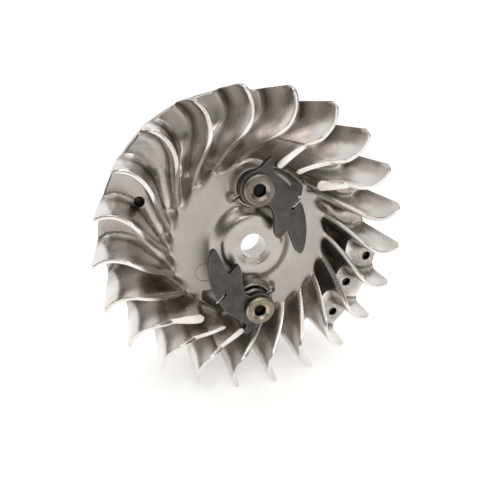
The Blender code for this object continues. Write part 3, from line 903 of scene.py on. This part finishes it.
def make_cast_aluminium():
    cast = Surface("cast_aluminium", (0.55, 0.52, 0.49), 1.0, 0.32)
    cloud = cast.noise(95.0, 4.0, 0.55)
    fine = cast.noise(1500.0, 3.0, 0.6)
    ring = cast.radius()
    depth = cast.axis("Y")
    patch = cast.remap(cloud, 0.35, 0.68)
    # the blades get a much lighter tone than the web and hub: painted light on the blades and painted shade
    # on the web, on one cast metal; the cloud patches are random cast tone
    blades = cast.mix(patch, (0.74, 0.70, 0.67), (0.86, 0.83, 0.80))
    plate = cast.mix(patch, (0.42, 0.385, 0.352), (0.51, 0.478, 0.447))
    tone = cast.mix(cast.remap(ring, 0.027, 0.033, smooth=True), plate, blades)
    # painted shade: beyond r 30 mm the channel floors are painted darker the deeper they lie, standing in
    # for the shade between the blades
    channel_shade = cast.remap(depth, 0.0012, 0.0095, 0.0, 0.66, smooth=True)
    channel_shade = cast.math("MULTIPLY", channel_shade, cast.remap(ring, 0.030, 0.034))
    tone = cast.mix(channel_shade, tone, (0.30, 0.263, 0.235))
    tone = cast.mix(cast.remap(fine, 0.42, 0.30, 0.0, 0.35), tone, (0.30, 0.265, 0.235))
    # painted shade: the casting inside each spring collar is painted dark, standing in for the shadowed
    # spring pocket
    for half in (0, 1):
        pocket_shade = cast.remap(cast.radius(collar_centre(half)), 0.0061, 0.0071, 0.7, 0.0, smooth=True)
        tone = cast.mix(pocket_shade, tone, (0.16, 0.135, 0.115))
    stain = cast.remap(cast.noise(38.0, 2.0), 0.52, 0.66, 0.0, 0.4, smooth=True)
    tone = cast.mix(stain, tone, (0.43, 0.38, 0.335))
    # balance pads: a darker patch round each hole, painted shade that dims the pads, broken up by a speckle
    # of cast grain
    for radius, degrees in PAD_HOLES:
        x, y = polar(radius - 1.0, degrees)
        pad = cast.remap(cast.distance((x * MM, 0.0024, y * MM)), 0.0050, 0.0088, 0.85, 0.0, smooth=True)
        speckle = cast.remap(cast.noise(1100.0, 3.0, 0.7), 0.40, 0.60, 0.55, 1.0)
        tone = cast.mix(cast.math("MULTIPLY", pad, speckle), tone, (0.24, 0.212, 0.18))
    mark = cast.math("ABSOLUTE", cast.math("SUBTRACT", cast.radius(RING_MARK), RING_MARK_R * MM))
    mark = cast.remap(mark, 0.00012, 0.00022, 0.55, 0.0)
    mark = cast.math("MULTIPLY", mark, cast.remap(depth, 0.0034, 0.0033))
    tone = cast.mix(mark, tone, (0.16, 0.14, 0.12))
    # painted shade: the walls and floor of each drilled hole are painted near black, standing in for the
    # shade deep inside
    for spot in PAD_HOLES + (WEIGHT_HOLE,):
        drilled = cast.remap(cast.radius(polar(*spot)), 0.00165, 0.00185, 0.92, 0.0)
        drilled = cast.math("MULTIPLY", drilled, cast.remap(depth, 0.0026, 0.0034))
        drilled = cast.math("MULTIPLY", drilled, cast.remap(depth, 0.0142, 0.0136))
        tone = cast.mix(drilled, tone, (0.02, 0.018, 0.016))
    pits = cast.remap(cast.cells(420.0), 0.10, 0.02, 0.0, 1.0)
    rare = cast.remap(cast.noise(210.0, 1.0), 0.60, 0.70)
    pit = cast.math("MULTIPLY", pits, rare)
    tone = cast.mix(pit, tone, (0.12, 0.10, 0.085))
    cast.colour(tone)
    rough = cast.remap(cloud, 0.3, 0.7, 0.24, 0.34)
    web = cast.math("MULTIPLY", cast.remap(ring, 0.015, 0.018), cast.remap(ring, 0.030, 0.027))
    rough = cast.math("ADD", rough, cast.math("MULTIPLY", web, 0.17))
    turned = cast.remap(ring, 0.0069, 0.0071, 1.0, 0.0)
    rough = cast.math("SUBTRACT", rough, cast.math("MULTIPLY", turned, 0.10))
    cast.roughness(rough)
    waves = cast.math("SINE", cast.math("MULTIPLY", ring, 2.0 * math.pi / 0.00022))
    cast.bump(cast.math("MULTIPLY", waves, turned), 0.000006)
    cast.bump(cast.noise(420.0, 2.0), 0.00005)
    cast.bump(fine, 0.000025)
    cast.bump(cast.math("MULTIPLY", pit, -1.0), 0.00008)
    return cast.material


def make_steel(name, colour, roughness, grain, worn=None):
    steel = Surface(name, colour, 1.0, roughness)
    cloud = steel.noise(260.0, 3.0)
    fine = steel.noise(grain, 2.0, 0.6)
    dark = tuple(c * 0.72 for c in colour)
    light = tuple(min(1.0, c * 1.18) for c in colour)
    tone = steel.mix(steel.remap(cloud, 0.32, 0.68), dark, light)
    if worn:
        tone = steel.mix(steel.remap(steel.noise(900.0, 3.0, 0.7), 0.58, 0.70), tone, worn)
    steel.colour(tone)
    steel.roughness(steel.remap(cloud, 0.3, 0.7, roughness - 0.05, roughness + 0.07))
    steel.bump(fine, 0.00002)
    return steel


def make_zinc(name, half):
    centre = half_turn(PIVOT, half)
    face = ((0.165, 0.145, 0.125), (0.24, 0.215, 0.16))[half]
    zinc = make_steel(name, face, 0.34, 2600.0)
    spread = zinc.radius(centre)
    # painted highlight: the outer chamfer ring of the head and the cone round the socket are painted about
    # twice as light as the face
    ring_highlight = tuple(min(1.0, 2.1 * c) for c in face)
    dull, light = tuple(0.85 * c for c in face), tuple(1.2 * c for c in face)
    plain = zinc.mix(zinc.remap(zinc.noise(300.0, 3.0), 0.3, 0.7), dull, light)
    tone = zinc.mix(zinc.remap(spread, 0.0046, 0.0048, smooth=True), plain, ring_highlight)
    zinc.colour(zinc.mix(zinc.remap(spread, 0.0034, 0.0032, smooth=True), tone, ring_highlight))
    waves = zinc.math("SINE", zinc.math("MULTIPLY", spread, 2.0 * math.pi / 0.00016))
    zinc.bump(waves, 0.000004)
    return zinc.material


def make_magnet():
    magnet = Surface("sintered_magnet", (0.08, 0.08, 0.085), 0.35, 0.55)
    grain = magnet.noise(1900.0, 4.0, 0.7)
    magnet.colour(magnet.mix(magnet.remap(grain, 0.35, 0.7), (0.045, 0.045, 0.05), (0.15, 0.145, 0.14)))
    magnet.roughness(magnet.remap(magnet.noise(300.0), 0.3, 0.7, 0.45, 0.65))
    magnet.bump(grain, 0.00004)
    return magnet.material


def make_pole_steel():
    pole = Surface("pole_steel", (0.34, 0.33, 0.32), 1.0, 0.38)
    cloud = pole.noise(330.0, 4.0, 0.65)
    sheet = pole.shifted((0.0, 0.0, 0.0), (0.15, 6.0, 0.15))
    grain = pole.noise(700.0, 2.0, 0.5, sheet)
    tone = pole.mix(pole.remap(grain, 0.3, 0.7), (0.24, 0.23, 0.22), (0.42, 0.41, 0.39))
    tone = pole.mix(pole.remap(cloud, 0.55, 0.72, 0.0, 0.75), tone, (0.17, 0.085, 0.045))
    pole.colour(tone)
    pole.roughness(pole.remap(cloud, 0.4, 0.7, 0.32, 0.62))
    pole.bump(grain, 0.00003)
    return pole.material


def make_wire():
    wire = make_steel("spring_wire", (0.55, 0.50, 0.43), 0.30, 1800.0, (0.36, 0.26, 0.20))
    return wire.material


def make_floor():
    paper = Surface("studio_floor", (0.93, 0.925, 0.915), 0.0, 0.85)
    grain = paper.noise(60.0, 3.0)
    paper.colour(paper.mix(paper.remap(grain, 0.3, 0.7), (0.925, 0.92, 0.91), (0.935, 0.93, 0.925)))
    paper.shader.inputs["Specular IOR Level"].default_value = 0.1
    paper.shader.inputs["Emission Color"].default_value = (1.0, 0.995, 0.99, 1.0)
    paper.shader.inputs["Emission Strength"].default_value = 0.46
    return paper.material


def dress(item, material):
    picks = [face.material_index for face in item.data.polygons]
    item.data.materials.clear()
    item.data.materials.append(material)
    item.data.polygons.foreach_set("material_index", picks)
    return item


# ---------------------------------------------------------------- the object


steel_dark = make_steel("pawl_steel", (0.088, 0.082, 0.078), 0.42, 2200.0, (0.115, 0.105, 0.095)).material
# lighter steel on the bevelled pawl edges: partly edge wear, partly a painted highlight along the edges
edge_wear_and_highlight = make_steel("pawl_edge_wear_and_highlight", (0.20, 0.188, 0.178), 0.38, 2200.0).material

casting = dress(build_casting(), make_cast_aluminium())
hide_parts("flywheel_casting")
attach(casting, "wheel")

wire_steel = make_wire()
socket_dark = make_steel("socket_shade", (0.035, 0.033, 0.032), 0.55, 2200.0).material
bush_steel = make_steel("bush_steel", (0.45, 0.44, 0.42), 0.3, 2600.0).material
for half, side in enumerate(("upper", "lower")):
    body = side + "_pawl"
    pawl = build_pawl("hook_pawl_" + side, half)
    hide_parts("starter_pawl_" + side)
    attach(pawl, body)
    screw = dress(build_screw("shoulder_screw_" + side, half), make_zinc("zinc_steel_" + side, half))
    screw.data.materials.append(socket_dark)
    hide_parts("pawl_screw_" + side)
    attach(screw, "wheel")
    bush = dress(build_bush("turned_bush_" + side, half), bush_steel)
    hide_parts("pawl_bush_" + side)
    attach(bush, "wheel")
    spring = dress(build_spring("torsion_spring_" + side, half), wire_steel)
    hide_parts("pawl_spring_" + side)
    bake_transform(spring)

pole_steel = make_pole_steel()
for name, middle in (("leading", -35.0), ("trailing", -16.0)):
    shoe = dress(build_shoe("laminated_shoe_" + name, middle), pole_steel)
    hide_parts("pole_shoe_" + name)
    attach(shoe, "wheel")
magnet = dress(build_magnet("rim_magnet"), make_magnet())
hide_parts("ignition_magnet")
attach(magnet, "wheel")


# ---------------------------------------------------------------- stage, lights, camera


def area_light(name, place, target, size, watts, colour=(1.0, 1.0, 1.0)):
    data = bpy.data.lights.new(name, "AREA")
    data.shape = "RECTANGLE"
    data.size, data.size_y = size
    data.energy = watts
    data.color = colour
    lamp = bpy.data.objects.new(name, data)
    bpy.context.scene.collection.objects.link(lamp)
    lamp.location = place
    lamp.rotation_euler = (Vector(target) - Vector(place)).to_track_quat("-Z", "Y").to_euler()
    return lamp


build = bmesh.new()
bmesh.ops.create_grid(build, x_segments=8, y_segments=8, size=3.0)
mesh = bpy.data.meshes.new("studio_floor")
build.to_mesh(mesh)
build.free()
floor = dress(new_object("studio_floor", mesh), make_floor())
floor.location = (0.0, 0.0, FLOOR_Z)

scene = bpy.context.scene
scene.view_settings.view_transform = "Standard"


def studio_world(ceiling, backdrop):
    """White backdrop behind the wheel, a dimmer ceiling, and a dark room on the photographer's side."""
    world = bpy.data.worlds.new("studio")
    bpy.context.scene.world = world
    world.use_nodes = True
    nodes, links = world.node_tree.nodes, world.node_tree.links
    background = next(n for n in nodes if n.type == "BACKGROUND")
    background.inputs["Color"].default_value = (1.0, 0.995, 0.985, 1.0)
    split = nodes.new("ShaderNodeSeparateXYZ")
    links.new(nodes.new("ShaderNodeTexCoord").outputs["Generated"], split.inputs["Vector"])

    def ramp(axis, *numbers):
        node = nodes.new("ShaderNodeMapRange")
        node.interpolation_type = "SMOOTHSTEP"
        for socket, number in zip(("From Min", "From Max", "To Min", "To Max"), numbers):
            node.inputs[socket].default_value = number
        links.new(split.outputs[axis], node.inputs["Value"])
        return node.outputs["Result"]

    def calculate(operation, first, second):
        node = nodes.new("ShaderNodeMath")
        node.operation = operation
        links.new(first, node.inputs[0])
        links.new(second, node.inputs[1])
        return node.outputs["Value"]

    behind = calculate("MULTIPLY", ramp("Y", -0.1, 0.5, 0.10, backdrop), ramp("Z", 0.35, 0.85, 1.0, 0.0))
    seen = nodes.new("ShaderNodeMix")
    links.new(nodes.new("ShaderNodeLightPath").outputs["Is Camera Ray"], seen.inputs["Factor"])
    links.new(calculate("ADD", behind, ramp("Z", 0.35, 0.85, 0.0, ceiling)), seen.inputs["A"])
    seen.inputs["B"].default_value = backdrop
    links.new(seen.outputs["Result"], background.inputs["Strength"])


studio_world(0.76, 1.05)
for name, place, watts in (
    ("upper_left", (-0.32, -0.30, 0.46), 0.18),
    ("overhead", (0.05, -0.20, 0.55), 0.20),
    ("front_right", (0.20, -0.50, 0.10), 0.18),
    ("front_high", (0.0, -0.50, 0.35), 0.45),
    ("low_left", (-0.30, -0.25, -0.02), 0.03),
):
    area_light(name, place, (0.0, 0.0, 0.0), (0.16, 0.16), watts, (1.0, 0.975, 0.945))

data = bpy.data.cameras.new("camera")
data.lens = CAMERA_LENS
data.sensor_width = 36.0
data.clip_start = 0.005
camera = bpy.data.objects.new("camera", data)
scene.collection.objects.link(camera)
right = Vector((0.9653, -0.2612, 0.0)).normalized()
up = Vector((0.0911, 0.3365, 0.9373)).normalized()
back = right.cross(up).normalized()
up = back.cross(right).normalized()
camera.matrix_world = Matrix.Translation(CAMERA_PLACE) @ Matrix((right, up, back)).transposed().to_4x4()
scene.camera = camera
